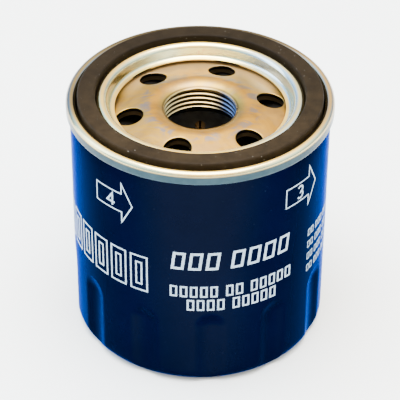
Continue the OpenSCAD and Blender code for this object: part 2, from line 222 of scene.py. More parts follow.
def make_can():
    neck_low, neck_high = SEAM_TOP - SEAM_TALL - 0.35, SEAM_TOP - SEAM_TALL + 0.05
    wall, neck = CAN_R - SHEET / 2, CAN_R - NECK_IN
    hook = HOOK_R - SHEET / 2
    flange = SEAM_TOP - SEAM_WIDE / 2 - HOOK_DROP
    line = [(r, PANEL_Z) for r in (0.0, 8.0, 16.0, PANEL_R - 0.3)]
    line += arc(PANEL_R, PANEL_Z - PANEL_BEND, PANEL_BEND, 90, 42, 5)
    line += arc(FOOT_R, SHEET / 2 + FOOT_BEND, FOOT_BEND, 225, 270, 5)
    line += arc(CAN_R - CORNER_R, CORNER_R, CORNER_R - SHEET / 2, -90, 0, 18)
    line += [(wall, z) for z in (6, 9, 12, 15, 18, 19.5, 20.5)]
    # close rows where the flutes run out
    line += [(wall, 21 + 0.25 * i) for i in range(23)]
    line += [(wall, z) for z in (28, 32, 38, 44, 50, 56, 62, 68, neck_low - 0.25, neck_low)]
    for t in (0.15, 0.3, 0.5, 0.7, 0.85, 1.0):
        inwards = (wall - neck) * t * t * (3 - 2 * t)
        line.append((wall - inwards, neck_low + (neck_high - neck_low) * t))
    line += [(neck, neck_high + 0.1)]
    line += arc(neck + hook, flange, hook, 180, 0, 12)
    line += [(neck + 2 * hook, flange - HOOK_TIP)]
    outer, inner = both_sides(line, SHEET)
    # the first and last points lie on the axis
    outer[0], inner[-1] = (0.0, line[0][1] - SHEET / 2), (0.0, line[0][1] + SHEET / 2)
    angles = can_angles()
    rows = []
    for side, grow in ((outer, 0.0), (inner, SHEET)):
        for r, z in side:
            row = []
            for a, phi in angles:
                rr = r
                if z < FLUTE_TOP + 2.5 and r > 30:
                    rr = soft_min(r, flute_radius(phi, z, grow), FLUTE_BLEND)
                row.append((rr * math.cos(a), rr * math.sin(a), z))
            rows.append(row)
    return from_grid("painted_can", rows, sharp=50)


# ---------------------------------------------------------------- lid

CREST_R, CREST_BEND, EDGE_R, EDGE_LIFT, COVE = 29.55, 1.6, 24.3, 1.1, 1.0
GROOVE_BEND = 0.5  # inner radius of the two bends at the groove's floor
SLOPE = math.degrees(math.atan2(24, 7))


def make_lid():
    half = SHEET / 2
    seam_low = SEAM_TOP - SEAM_TALL
    chuck = SEAM_R - SEAM_WIDE + half
    crown = SEAM_WIDE / 2 - half
    crown_x, crown_z = SEAM_R - half - crown, SEAM_TOP - half - crown
    floor = LID_LOW + half
    bend = GROOVE_BEND + half
    crest_x, crest_z = CREST_R - CREST_BEND, SEAM_TOP - 0.1 - CREST_BEND
    cove_z = floor + half + EDGE_LIFT + COVE
    s, c = math.sin(math.radians(SLOPE)), math.cos(math.radians(SLOPE))
    drop = crest_z + CREST_BEND * c - (cove_z - COVE * c)
    cove_x = crest_x - CREST_BEND * s - drop / math.tan(math.radians(SLOPE)) - COVE * s
    hook = HOOK_R - half
    line = [(SEAM_R - HOOK_R - hook, seam_low + HOOK_R + tip) for tip in (HOOK_TIP, 0.0)]
    line += arc(SEAM_R - HOOK_R, seam_low + HOOK_R, hook, 180, 360, 14)
    line += arc(crown_x, crown_z, crown, 0, 180, 22)
    line += arc(chuck - bend, floor + bend, bend, 0, -90, 8)
    line += arc(CREST_R + GROOVE_BEND, floor + bend, bend, 270, 180, 8)
    line += arc(crest_x, crest_z, CREST_BEND - half, 0, 90 + SLOPE, 26)
    line += arc(cove_x, cove_z, COVE + half, 270 + SLOPE, 270, 14)
    line += [(EDGE_R + 0.1, floor + EDGE_LIFT), (EDGE_R, floor + EDGE_LIFT)]
    right, left = both_sides(supported(line), SHEET)
    return revolve("tinplate_lid", right + left, 288)


# ---------------------------------------------------------------- gasket


def make_gasket():
    inner, low, edge = 29.7, LID_LOW + SHEET, 0.6
    loop = arc(GASKET_R - edge, low + edge, edge, -90, 0, 8)
    loop += arc(GASKET_R - edge, GASKET_TOP - edge, edge, 0, 90, 8)
    loop += arc(inner + edge, GASKET_TOP - edge, edge, 90, 180, 8)
    loop += arc(inner + edge, low + edge, edge, 180, 270, 8)
    return revolve("gasket_ring", supported(loop + loop[:1])[:-1], 256)


# ---------------------------------------------------------------- tapping plate

PLATE_T, DISH = 2.5, math.radians(12)
DISH_R = EDGE_R - 0.6  # the dish begins just inside the lid's edge
ROLL_X, ROLL_R = 14.05, 6.0
ROLL_Z = CROWN_Z - ROLL_R
COLLAR_R, FILLET, CHAMFER, LEAD_IN = 13.2, 1.2, 0.2, 0.25
MAJOR_R, PITCH, MINOR_R = 11.0, 1.5, 10.188
THREAD_TOP = ROLL_Z + 4.45  # the grooves run out just below the rolled edge
RUN_OUT = 0.45  # height over which the grooves run out
CREST_TURN = -0.4  # height of a thread crest over the collar's lower end, at +X
MOUTH_END = math.acos((ROLL_X - MAJOR_R) / ROLL_R)  # where the rolled edge reaches the thread's roots
MOUTH_Z = ROLL_Z + ROLL_R * math.sin(MOUTH_END)
INLETS, INLET_R, INLET_CIRCLE, INLET_TURN, INLET_EDGE = 6, 3.9, 20.4, 12.3, 0.2
TEAR = 0.14  # how much wider a hole is where the punch broke out
TURN_STEPS, HOLE_STEPS = 240, 72


def plate_top(r):
    """Height of the plate's upper face, outside the rolled edge."""
    return PLATE_TOP + max(0.0, DISH_R - r) * math.tan(DISH)


def plate_under(r):
    """Height of its lower face."""
    dish_r = DISH_R - PLATE_T * math.tan(DISH / 2)
    return PLATE_TOP - PLATE_T + max(0.0, dish_r - r) * math.tan(DISH)


def thread_wall(phase, z):
    """Radius of the threaded wall; phase is 0 on a crest and counts pitches."""
    off = abs((phase + 0.5) % 1.0 - 0.5)
    depth = min(1.0, max(0.0, (off - 0.125) / 0.3125))
    run_out = min(1.0, max(0.0, (THREAD_TOP - z) / RUN_OUT))
    r = MINOR_R + (MAJOR_R - MINOR_R) * depth * run_out
    mouth = ROLL_X - math.sqrt(ROLL_R**2 - (z - ROLL_Z) ** 2) if z > ROLL_Z else 0.0
    lead_in = MINOR_R + LEAD_IN - (z - COLLAR_LOW)
    return max(r, mouth, lead_in)


def make_plate():
    bm = bmesh.new()
    turn = [2 * math.pi * j / TURN_STEPS for j in range(TURN_STEPS)]

    def ring(points):
        return [bm.verts.new((x * MM, y * MM, z * MM)) for x, y, z in points]

    def bridge(a, b):
        n = len(a)
        for j in range(n):
            corners = (a[j], a[(j + 1) % n], b[(j + 1) % n], b[j])
            bm.faces.new(corners)

    def circle(r, z):
        return ring([(r * math.cos(a), r * math.sin(a), z) for a in turn])

    def chain(rings):
        for a, b in zip(rings, rings[1:]):
            bridge(a, b)

    # rolled edge into the bore
    start, end = 90 - math.degrees(DISH), 180 - math.degrees(MOUTH_END)
    roll = [circle(r, z) for r, z in arc(ROLL_X, ROLL_Z, ROLL_R, start, end, 18)]
    # thread: each row follows the helix, held inside the bore's two ends
    steps = (-0.14, -0.11, 0.11, 0.14, 0.22, 0.3, 0.38, 0.4375, 0.5, 0.5625, 0.62, 0.7, 0.78)
    phases = [k + s for k in range(6, -4, -1) for s in reversed(steps)]
    rows = [roll[-1]]
    for phase in phases:
        points = []
        for a in turn:
            z = COLLAR_LOW + CREST_TURN + (phase + a / (2 * math.pi)) * PITCH
            z = min(MOUTH_Z, max(COLLAR_LOW, z))
            real = (z - COLLAR_LOW - CREST_TURN) / PITCH - a / (2 * math.pi)
            r = thread_wall(real, z)
            points.append((r * math.cos(a), r * math.sin(a), z))
        rows.append(ring(points))
    chain(roll[:-1] + rows)
    # collar and underside
    bend_r = COLLAR_R + FILLET
    outline = [(COLLAR_R - CHAMFER, COLLAR_LOW), (COLLAR_R, COLLAR_LOW + CHAMFER)]
    outline += arc(bend_r, plate_under(bend_r) - FILLET, FILLET, 180, 90, 8)
    outline = [rows[-1]] + [circle(r, z) for r, z in outline]
    chain(outline)
    rim_low, rim_high = circle(PLATE_R, PLATE_TOP - PLATE_T), circle(PLATE_R, PLATE_TOP)
    bridge(rim_low, rim_high)

    # inlet holes, with rounded rims
    under_r = INLET_R + TEAR + 0.08
    tops, bottoms, centres = [], [], []
    for k in range(INLETS):
        a = math.radians(INLET_TURN + 360 / INLETS * k)
        cx, cy = INLET_CIRCLE * math.cos(a), INLET_CIRCLE * math.sin(a)
        centres.append((cx, cy))

        def hole_ring(r, drop, surface):
            points = []
            for j in range(HOLE_STEPS):
                t = 2 * math.pi * j / HOLE_STEPS
                x, y = cx + r * math.cos(t), cy + r * math.sin(t)
                points.append((x, y, surface(math.hypot(x, y)) - drop))
            return ring(points)

        edge = INLET_EDGE
        hole = []
        for q in (0, 18, 36, 54, 72, 90):
            c, w = math.cos(math.radians(q)), math.sin(math.radians(q))
            hole.append(hole_ring(INLET_R + edge * (1 - w), edge * (1 - c), plate_top))
        hole.append(hole_ring(INLET_R, edge + 0.06, plate_top))
        hole += [hole_ring(INLET_R, PLATE_T * t, plate_top) for t in (0.3, 0.44)]
        hole += [hole_ring(INLET_R + TEAR - 0.02, PLATE_T * t, plate_top) for t in (0.52, 0.7)]
        hole += [hole_ring(INLET_R + TEAR, -0.06, plate_under), hole_ring(under_r, 0, plate_under)]
        chain(hole)
        tops.append(hole[0])
        bottoms.append(hole[-1])

    def fill(outer, inner, holes, surface, hole_r):
        """Surface between two rings, less the holes, with points spread over it."""
        loops = [outer, inner] + holes
        flat, edges, back = [], [], []
        for loop in loops:
            first = len(flat)
            flat += [v.co.xy / MM for v in loop]
            back += loop
            edges += [(first + i, first + (i + 1) % len(loop)) for i in range(len(loop))]
        low, high = (inner[0].co.xy / MM).length, (outer[0].co.xy / MM).length
        spacing, around = 0.9, 160
        r = low + spacing
        while r < high - 0.6:
            for j in range(around):
                a = 2 * math.pi * (j + r) / around
                p = Vector((r * math.cos(a), r * math.sin(a)))
                if all((p - Vector(c)).length > hole_r + 0.3 for c in centres):
                    flat.append(p)
                    back.append(None)
            r += spacing
        points, _, faces, source, _, _ = delaunay_2d_cdt(flat, edges, [], 0, 1e-7)
        verts = []
        for p, origin in zip(points, source):
            known = back[origin[0]] if origin else None
            verts.append(known or bm.verts.new((p.x * MM, p.y * MM, surface(p.length) * MM)))
        for f in faces:
            mid = sum((points[i] for i in f), Vector((0, 0))) / len(f)
            inside = low * 0.9999 < mid.length < high
            if inside and all((mid - Vector(c)).length > hole_r * 0.999 for c in centres):
                bm.faces.new([verts[i] for i in f])

    fill(rim_high, roll[0], tops, plate_top, INLET_R + INLET_EDGE)
    fill(rim_low, outline[-1], bottoms, plate_under, under_r)
    mesh = bpy.data.meshes.new("threaded_plate")
    bm.to_mesh(mesh)
    bm.free()
    return finish_mesh("threaded_plate", mesh, 36)


# ---------------------------------------------------------------- springs and diaphragm


def rounded(points, r, steps=4):
    """Closed outline with its corners rounded to about r, less where the sides are short."""
    out = []
    n = len(points)
    for i in range(n):
        before, here, after = (Vector(points[(i + k) % n]) for k in (-1, 0, 1))
        a, b = before - here, after - here
        reach = min(r, a.length * 0.4, b.length * 0.4)
        start, end = here + a.normalized() * reach, here + b.normalized() * reach
        for k in range(steps + 1):
            t = k / steps
            p = start * (1 - t) ** 2 + here * 2 * t * (1 - t) + end * t * t
            out.append((p.x, p.y))
    return out


def make_diaphragm():
    """Rubber diaphragm from the neck on the collar out to the lip on the plate's underside."""
    low, high = base_of("anti_drain_valve"), top_of("anti_drain_valve").z
    lip, neck = top_of("anti_drain_valve").x, COLLAR_R + 0.15
    outline = [
        (neck, low),
        (neck + 2.7, low),
        (neck + 3.1, low + 1.2),
        (lip - 1.2, high - 1.6),
        (lip, high - 0.7),
        (lip, high),
        (lip - 0.8, high),
        (lip - 1.8, high - 0.6),
        (neck + 2.4, low + 2.5),
        (neck + 1.5, low + 3.8),
        (neck + 1.5, COLLAR_LOW + 2.2),
        (neck, COLLAR_LOW + 2.2),
    ]
    return revolve("drain_diaphragm", supported(rounded(outline, 0.25), spacing=1.5)[:-1], 192)


def make_coil():
    """Bypass spring: round wire in evenly spaced turns, a little thinner at its two ends."""
    low, high = base_of("bypass_spring"), top_of("bypass_spring").z
    coil, wire, turns, sides = 5.2, 0.5, 5, 16
    steps = 64 * turns
    rows = []
    for i in range(steps + 1):
        a = 2 * math.pi * turns * i / steps
        z = low + wire + (high - low - 2 * wire) * i / steps
        tip = 0.85 if i in (0, steps) else 1.0
        row = []
        for j in range(sides):
            b = 2 * math.pi * j / sides
            r = coil + wire * tip * math.cos(b)
            row.append((r * math.cos(a), r * math.sin(a), z + wire * tip * math.sin(b)))
        rows.append(row)
    bm = bmesh.new()
    loops = [[bm.verts.new((x * MM, y * MM, z * MM)) for x, y, z in row] for row in rows]
    for one, two in zip(loops, loops[1:]):
        for j in range(sides):
            bm.faces.new((one[j], one[(j + 1) % sides], two[(j + 1) % sides], two[j]))
    bm.faces.new(loops[0][::-1])
    bm.faces.new(loops[-1])
    mesh = bpy.data.meshes.new("bypass_coil")
    bm.to_mesh(mesh)
    bm.free()
    return finish_mesh("bypass_coil", mesh)


def make_leaf_spring():
    """Ring with four leaves that slope down to rounded feet, cut from one sheet."""
    low, high = base_of("element_spring"), top_of("element_spring").z
    inner, outer, thick, width = 11.5, 17.0, 0.5, 9.0
    ankle, toe = outer + 5.7, outer + 7.4
    wide_steps, gap_steps, long_steps = 12, 16, 14
    bm = bmesh.new()

    def sheet_height(r):
        """Height of the sheet's underside at radius r along a leaf."""
        if r <= outer:
            return high - thick
        t = min(1.0, (r - outer) / (ankle - outer))
        drop = high - thick - low
        soft = t * t * (3 - 2 * t)
        return high - thick - drop * (0.75 * t + 0.25 * soft)

    leaf_half = math.asin(width / 2 / outer)
    columns = []
    for k in range(4):
        middle = k * math.pi / 2
        first, gap = middle - leaf_half, math.pi / 2 - 2 * leaf_half
        columns += [(first + 2 * leaf_half * i / wide_steps, k) for i in range(wide_steps + 1)]
        columns += [(middle + leaf_half + gap * i / gap_steps, None) for i in range(1, gap_steps)]

    def pair(x, y, z):
        return tuple(bm.verts.new((x * MM, y * MM, h * MM)) for h in (z, z + thick))

    ring = []
    for a, _ in columns:
        radii = (inner, (inner + outer) / 2, outer)
        ring.append([pair(r * math.cos(a), r * math.sin(a), high - thick) for r in radii])
    n = len(columns)

    def plate_faces(a, b, c, d):
        """Upper and lower face over four pairs of points."""
        bm.faces.new((a[1], b[1], c[1], d[1]))
        bm.faces.new((d[0], c[0], b[0], a[0]))

    def edge_face(a, b):
        bm.faces.new((a[0], b[0], b[1], a[1]))

    for j in range(n):
        one, two = ring[j], ring[(j + 1) % n]
        for q in range(2):
            plate_faces(one[q], one[q + 1], two[q + 1], two[q])
        edge_face(two[0], one[0])
        if columns[j][1] is None or columns[(j + 1) % n][1] is None:
            edge_face(one[2], two[2])
    for k in range(4):
        middle = k * math.pi / 2
        along = Vector((math.cos(middle), math.sin(middle)))
        across = Vector((-along.y, along.x))
        start = [j for j, c in enumerate(columns) if c[1] == k]
        rows = [[ring[j][2] for j in start]]
        for step in range(1, long_steps + 1):
            row = []
            for i in range(wide_steps + 1):
                side = width / 2 * (2 * i / wide_steps - 1)
                root = outer * math.cos(math.asin(side / outer))
                round_off = 1.2 * (abs(side) / (width / 2)) ** 4
                r = root + (toe - round_off - root) * step / long_steps
                p = along * r + across * side
                row.append(pair(p.x, p.y, sheet_height(r)))
            rows.append(row)
        for one, two in zip(rows, rows[1:]):
            for i in range(wide_steps):
                plate_faces(one[i], two[i], two[i + 1], one[i + 1])
            edge_face(one[0], two[0])
            edge_face(two[-1], one[-1])
        for i in range(wide_steps):
            edge_face(rows[-1][i], rows[-1][i + 1])
    mesh = bpy.data.meshes.new("leaf_spring")
    bm.to_mesh(mesh)
    bm.free()
    return finish_mesh("leaf_spring", mesh)


# ---------------------------------------------------------------- printing on the can

INK_LOW, INK_HIGH = 0.0, 0.035  # heights of the ink's two faces over the wall, in mm


class Print:
    """Thin printed shapes, drawn in mm as arc length from the -Y side (to the right) and height."""

    def __init__(self):
        self.bm = bmesh.new()

    def put(self, s, z, lift):
        """Vertex at arc length s and height z, lifted off the wall."""
        a = s / CAN_R - math.pi / 2
        r = CAN_R + lift
        return self.bm.verts.new((r * math.cos(a) * MM, r * math.sin(a) * MM, z * MM))

    def slab(self, low, high, closed=False):
        """Solid strip between two matching rows of points."""
        n = len(low)
        a = [self.put(s, z, INK_HIGH) for s, z in low]
        b = [self.put(s, z, INK_HIGH) for s, z in high]
        c = [self.put(s, z, INK_LOW) for s, z in low]
        d = [self.put(s, z, INK_LOW) for s, z in high]
        for i in range(n if closed else n - 1):
            j = (i + 1) % n
            self.bm.faces.new((a[i], a[j], b[j], b[i]))
            self.bm.faces.new((c[j], c[i], d[i], d[j]))
            self.bm.faces.new((c[i], c[j], a[j], a[i]))
            self.bm.faces.new((b[i], b[j], d[j], d[i]))
        if not closed:
            self.bm.faces.new((c[0], a[0], b[0], d[0]))
            self.bm.faces.new((a[-1], c[-1], d[-1], b[-1]))

    def stroke(self, points, width, closed=False):
        """Line of even width through points, with mitred corners."""
        fine = []
        n = len(points)
        for i in range(n if closed else n - 1):
            (x0, z0), (x1, z1) = points[i], points[(i + 1) % n]
            pieces = max(1, int(math.hypot(x1 - x0, z1 - z0) / 0.6))
            fine += [(x0 + (x1 - x0) * k / pieces, z0 + (z1 - z0) * k / pieces) for k in range(pieces)]
        if not closed:
            fine.append(points[-1])
        left, right = [], []
        m = len(fine)
        for i in range(m):
            before = fine[i - 1] if closed or i else None
            after = fine[(i + 1) % m] if closed or i < m - 1 else None
            here = Vector(fine[i])
            d0 = (here - Vector(before)).normalized() if before is not None else None
            d1 = (Vector(after) - here).normalized() if after is not None else None
            d0, d1 = d0 or d1, d1 or d0
            n0, n1 = Vector((-d0.y, d0.x)), Vector((-d1.y, d1.x))
            miter = (n0 + n1).normalized()
            size = width / 2 / max(0.35, miter.dot(n0))
            left.append(tuple(here + miter * size))
            right.append(tuple(here - miter * size))
        self.slab(right, left, closed)

    def make(self, name):
        mesh = bpy.data.meshes.new(name)
        self.bm.to_mesh(mesh)
        self.bm.free()
        return finish_mesh(name, mesh, 30)


def frame_points(s0, s1, z0, z1, lean=0.0):
    """Corners of a frame that leans to the right."""
    return [(s0, z0), (s1, z0), (s1 + lean * (z1 - z0), z1), (s0 + lean * (z1 - z0), z1)]


def digit_strokes(digit):
    """Strokes of a plain digit, about 4 mm tall, centred on the origin."""
    if digit == 1:
        return [[(-0.75, 1.25), (0.15, 2.05), (0.15, -2.05)]]
    if digit == 2:
        return [arc(0, 0.95, 1.1, 165, -35, 10) + [(-1.15, -1.85), (1.25, -1.85)]]
    if digit == 3:
        upper = arc(-0.05, 0.98, 0.98, 150, -75, 9)
        lower = arc(-0.05, -0.98, 1.08, 75, -150, 10)
        return [upper + lower]
    return [[(0.62, -2.05), (0.62, 1.9), (-1.35, -0.95), (1.45, -0.95)]]


def make_arrows():
    """Four turn arrows a quarter turn apart, numbered 4, 3, 2, 1 to the right."""
    ink = Print()
    middle, shaft, head, neck, tip = 60.25, 3.1, 6.6, 9.45, 13.0
    first, line, digit_line, digit_at = -49.9, 0.38, 0.56, 5.6
    upper = [(0, shaft), (neck, shaft), (neck, head), (tip, 0)]
    outline = upper + [(x, -z) for x, z in upper[2::-1]]
    for k, digit in enumerate((4, 3, 2, 1)):
        s = math.radians(first + 90 * k) * CAN_R
        ink.stroke([(s + x, middle + z) for x, z in outline], line, closed=True)
        for points in digit_strokes(digit):
            ink.stroke([(s + digit_at + x, middle + z) for x, z in points], digit_line)
    return ink.make("print_turn_arrows")


def make_blocks():
    """Plain frames in place of the printed words."""
    ink = Print()

    def words(start, z, tall, groups, wide, gap, space, line, lean=0.0):
        """Row of frames tall and wide over their outside, in groups with a space between."""
        s, half = start, line / 2
        for count in groups:
            for _ in range(count):
                corners = frame_points(s + half, s + wide - half, z + half, z + tall - half, lean)
                ink.stroke(corners, line, closed=True)
                s += wide + gap
            s += space

    for turn in (0, 180):
        shift = math.radians(turn) * CAN_R
        words(shift - 7.9, 42.2, 6.0, (3, 4), 3.6, 1.25, 2.2, 0.8, 0.12)
        words(shift - 8.2, 32.4, 3.9, (5, 2, 5), 2.1, 0.75, 1.6, 0.55)
        words(shift - 3.4, 27.6, 3.9, (4, 5), 2.1, 0.75, 1.6, 0.55)
        for row in range(4):
            words(shift + 36.3, 41.6 - 4.3 * row, 2.3, (2, 3, 2), 1.3, 0.5, 0.8, 0.24)
        for k in range(7):
            s = shift - 20.0 - 6.9 * k
            ink.stroke(frame_points(s, s + 5.1, 32.0, 44.0), 0.5, closed=True)
            ink.stroke(frame_points(s + 1.7, s + 3.4, 34.2, 41.8), 0.5, closed=True)
    return ink.make("print_plain_blocks")


# ---------------------------------------------------------------- materials


class Shader:
    """A few short-hands for building a node material."""

    def __init__(self, name):
        self.mat = bpy.data.materials.new(name)
        self.mat.use_nodes = True
        self.tree = self.mat.node_tree
        self.bsdf = next(n for n in self.tree.nodes if n.type == "BSDF_PRINCIPLED")
        self.coords = self.node("ShaderNodeTexCoord").outputs["Object"]

    def node(self, kind, **values):
        n = self.tree.nodes.new(kind)
        for key, value in values.items():
            setattr(n, key, value)
        return n

    def link(self, a, b):
        self.tree.links.new(a, b)

    def math(self, operation, a, b=0.0):
        n = self.node("ShaderNodeMath", operation=operation)
        for socket, value in zip(n.inputs, (a, b)):
            if isinstance(value, (int, float)):
                socket.default_value = value
            else:
                self.link(value, socket)
        return n.outputs[0]

    def place(self):
        """Coordinates x, y and z, and the distance from the Z axis, in metres."""
        split = self.node("ShaderNodeSeparateXYZ")
        self.link(self.coords, split.inputs[0])
        x, y, z = split.outputs
        squares = self.math("ADD", self.math("MULTIPLY", x, x), self.math("MULTIPLY", y, y))
        return x, y, z, self.math("SQRT", squares)

    def radius_and_height(self):
        """Distance from the Z axis and height, in mm."""
        _, _, z, r = self.place()
        return self.math("DIVIDE", r, MM), self.math("DIVIDE", z, MM)

    def heading(self):
        """Direction from the Z axis: 1 towards +X, and 1 towards +Y."""
        x, y, _, r = self.place()
        return self.math("DIVIDE", x, r), self.math("DIVIDE", y, r)

    def fade(self, value, start, end):
        """0 up to start, 1 from end on, with a smooth step between them."""
        n = self.node("ShaderNodeMapRange", interpolation_type="SMOOTHSTEP")
        self.link(value, n.inputs["Value"])
        n.inputs["From Min"].default_value = start
        n.inputs["From Max"].default_value = end
        return n.outputs[0]

    def both(self, *masks):
        """Product of masks or numbers, such as 1 where every mask is 1."""
        out = masks[0]
        for mask in masks[1:]:
            out = self.math("MULTIPLY", out, mask)
        return out

    def steepness(self):
        """0 on level surfaces and 1 on upright ones."""
        split = self.node("ShaderNodeSeparateXYZ")
        self.link(self.node("ShaderNodeNewGeometry").outputs["True Normal"], split.inputs[0])
        return self.math("SUBTRACT", 1.0, self.math("ABSOLUTE", split.outputs[2]))

    def stretched(self, scale):
        """Coordinates scaled along x, y and z."""
        n = self.node("ShaderNodeMapping")
        n.inputs["Scale"].default_value = scale
        self.link(self.coords, n.inputs["Vector"])
        return n.outputs["Vector"]

    def round_coords(self, around, across, along):
        """Coordinates that run round the Z axis: marks stretch round it."""
        x, y, z, r = self.place()
        join = self.node("ShaderNodeCombineXYZ")
        unit_x = self.math("MULTIPLY", self.math("DIVIDE", x, r), around)
        unit_y = self.math("MULTIPLY", self.math("DIVIDE", y, r), around)
        self.link(unit_x, join.inputs[0])
        self.link(unit_y, join.inputs[1])
        away = self.math("ADD", self.math("MULTIPLY", r, across), self.math("MULTIPLY", z, along))
        self.link(away, join.inputs[2])
        return join.outputs[0]

    def noise(self, vector, scale, detail=3.0, rough=0.5, distort=0.0):
        n = self.node("ShaderNodeTexNoise")
        self.link(vector, n.inputs["Vector"])
        n.inputs["Scale"].default_value = scale
        n.inputs["Detail"].default_value = detail
        n.inputs["Roughness"].default_value = rough
        n.inputs["Distortion"].default_value = distort
        return n.outputs[0]

    def ramp(self, fac, stops):
        n = self.node("ShaderNodeValToRGB")
        self.link(fac, n.inputs[0])
        bar = n.color_ramp
        while len(bar.elements) < len(stops):
            bar.elements.new(0.5)
        for element, (at, colour) in zip(bar.elements, stops):
            element.position = at
            element.color = (*colour, 1)
        return n.outputs[0]

    def mix(self, fac, a, b):
        """Colour a where fac is 0 and b where it is 1."""
        n = self.node("ShaderNodeMix", data_type="RGBA")
        for socket, value in ((n.inputs[0], fac), (n.inputs[6], a), (n.inputs[7], b)):
            if isinstance(value, (int, float)):
                socket.default_value = value
            elif isinstance(value, tuple):
                socket.default_value = (*value, 1)
            else:
                self.link(value, socket)
        return n.outputs[2]

    def spread(self, fac, low, high):
        """Number from low to high as fac goes from 0 to 1."""
        n = self.node("ShaderNodeMapRange")
        self.link(fac, n.inputs["Value"])
        n.inputs["To Min"].default_value = low
        n.inputs["To Max"].default_value = high
        return n.outputs[0]

    def bump(self, height, distance, strength=1.0, below=None):
        n = self.node("ShaderNodeBump")
        n.inputs["Strength"].default_value = strength
        n.inputs["Distance"].default_value = distance
        self.link(height, n.inputs["Height"])
        if below is not None:
            self.link(below, n.inputs["Normal"])
        return n.outputs[0]

    def set(self, **values):
        """Values or links for the shader's sockets, and the finished material."""
        for key, value in values.items():
            socket = self.bsdf.inputs[key.replace("_", " ")]
            if isinstance(value, tuple):
                socket.default_value = (*value, 1)
            elif isinstance(value, (int, float)):
                socket.default_value = value
            else:
                self.link(value, socket)
        return self.mat


def painted_can():
    s = Shader("navy_paint")
    cloud = s.noise(s.coords, 45, 4, 0.6)
    base = s.ramp(cloud, [(0.3, (0.0018, 0.0027, 0.0066)), (0.7, (0.0023, 0.0034, 0.0094))])
    specks = s.noise(s.coords, 1500, 2, 0.6)
    dust = s.ramp(specks, [(0.735, (0, 0, 0)), (0.775, (1, 1, 1))])
    colour = s.mix(s.math("MULTIPLY", dust, 0.08), base, (0.16, 0.24, 0.4))
    rough = s.spread(s.noise(s.coords, 160, 5, 0.65), 0.2, 0.32)
    peel = s.bump(s.noise(s.coords, 900, 2, 0.5), 0.00001, 0.35)
    return s.set(
        Base_Color=colour,
        Metallic=0.85,
        Roughness=rough,
        Normal=peel,
        Specular_IOR_Level=0.0,
        Specular_Tint=(0.0, 0.03, 0.4),
        Sheen_Weight=0.34,
        Sheen_Roughness=0.3,
        Sheen_Tint=(0.0, 0.17, 1.0),
    )


def tinplate():
    s = Shader("bright_tinplate")
    r, z = s.radius_and_height()
    rings = s.noise(s.round_coords(1.5, 2600, 2600), 1.0, 4, 0.6)
    cloud = s.noise(s.coords, 70, 4, 0.6)
    right, rear = s.heading()
    brown, gold, pale = (0.64, 0.5, 0.24), (0.97, 0.82, 0.38), (1.0, 0.92, 0.52)
    base = s.ramp(cloud, [(0.25, brown), (0.55, gold), (0.8, pale)])
    colour = s.mix(s.spread(rings, 0.0, 0.4), base, (0.36, 0.29, 0.16))
    # painted cool reflection: bluer on the slope towards +X
    cool = s.both(s.fade(right, 0.3, 0.75), s.fade(r, 24.6, 25.4), s.fade(r, 29.2, 28.4))
    colour = s.mix(s.math("MULTIPLY", cool, 0.6), colour, (0.4, 0.58, 0.78))
    # painted shade: the seam darkens away from the -Y side, darkest at the rear
    seam = s.fade(r, 35.45, 35.8)
    seam_painted_shade = s.ramp(s.spread(right, -0.2, 1.2), [(0.0, (0.13, 0.13, 0.145)), (1.0, (0.36, 0.29, 0.23))])
    colour = s.mix(s.both(seam, s.fade(rear, -0.62, -0.1), s.spread(rings, 0.8, 1.0)), colour, seam_painted_shade)
    seam_rear_painted_shade = s.both(s.fade(r, 34.9, 35.2), s.fade(rear, 0.35, 0.9), 0.85)
    colour = s.mix(seam_rear_painted_shade, colour, (0.04, 0.037, 0.03))
    # painted reflection: the seam's outside below its crown turns a dark grey-blue and mostly not metallic,
    # as if it mirrored dark surroundings
    outside = s.fade(r, 36.9, 37.3)
    seam_painted_reflection = s.both(outside, s.fade(z, SEAM_TOP - 1.1, SEAM_TOP - 1.35))
    mottle = s.noise(s.coords, 300, 4, 0.6)
    teal = s.ramp(mottle, [(0.3, (0.018, 0.04, 0.053)), (0.7, (0.03, 0.058, 0.072))])
    colour = s.mix(seam_painted_reflection, colour, teal)
    # thin dark painted line along the top of the grey-blue painted reflection band
    edge = s.both(
        outside,
        s.fade(z, SEAM_TOP - 0.9, SEAM_TOP - 1.05),
        s.fade(z, SEAM_TOP - 1.4, SEAM_TOP - 1.2),
    )
    colour = s.mix(s.math("MULTIPLY", edge, 0.7), colour, (0.05, 0.035, 0.02))
    # painted shade on the groove's walls beside the gasket
    groove = s.both(s.fade(r, 29.0, 29.3), s.fade(r, 35.45, 35.3))
    shade = s.both(groove, s.fade(z, SEAM_TOP - 0.7, SEAM_TOP - 1.2))
    colour = s.mix(s.math("MULTIPLY", shade, 0.96), colour, (0.01, 0.008, 0.006))
    rough = s.spread(s.noise(s.coords, 260, 5, 0.7), 0.14, 0.28)
    metal = s.math("SUBTRACT", 1.0, s.math("MULTIPLY", seam_painted_reflection, 0.85))
    return s.set(
        Base_Color=colour,
        Metallic=metal,
        Roughness=rough,
        Normal=s.bump(rings, 0.00002, 0.35),
        Specular_IOR_Level=0.08,
    )


